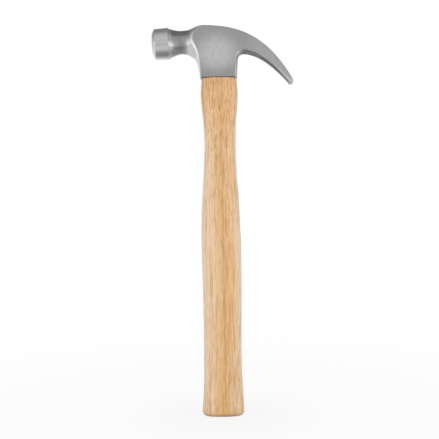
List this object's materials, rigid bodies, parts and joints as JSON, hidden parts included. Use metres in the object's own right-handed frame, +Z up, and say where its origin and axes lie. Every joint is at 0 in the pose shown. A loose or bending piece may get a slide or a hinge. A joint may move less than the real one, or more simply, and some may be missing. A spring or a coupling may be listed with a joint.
{
  "type": "curved claw hammer",
  "caption": "Curved claw hammer: a forged steel head with a round crowned striking face and split curved claws, wedged onto a shaped hardwood handle.",
  "frame": {"origin": "middle of the flat butt end of the handle", "axes": "+Z up the handle to the head, +X toward the claws with the striking face toward -X, the cheeks facing -Y and +Y"},
  "size_m": [0.1206, 0.0264, 0.3301],
  "materials": {
    "head_steel": "satin ground cheeks and claws, polished neck and poll",
    "handle_wood": "clear lacquered pale hardwood with a lengthwise grain",
    "wedge_wood": "bare wood, trimmed level with the tenon",
    "wedge_steel": "plain steel with a bruised top edge"
  },
  "bodies": {
    "root": {"head": "head_steel", "handle": "handle_wood", "wooden_wedge": "wedge_wood", "steel_wedge_front": "wedge_steel", "steel_wedge_rear": "wedge_steel"}
  },
  "joints": []
}
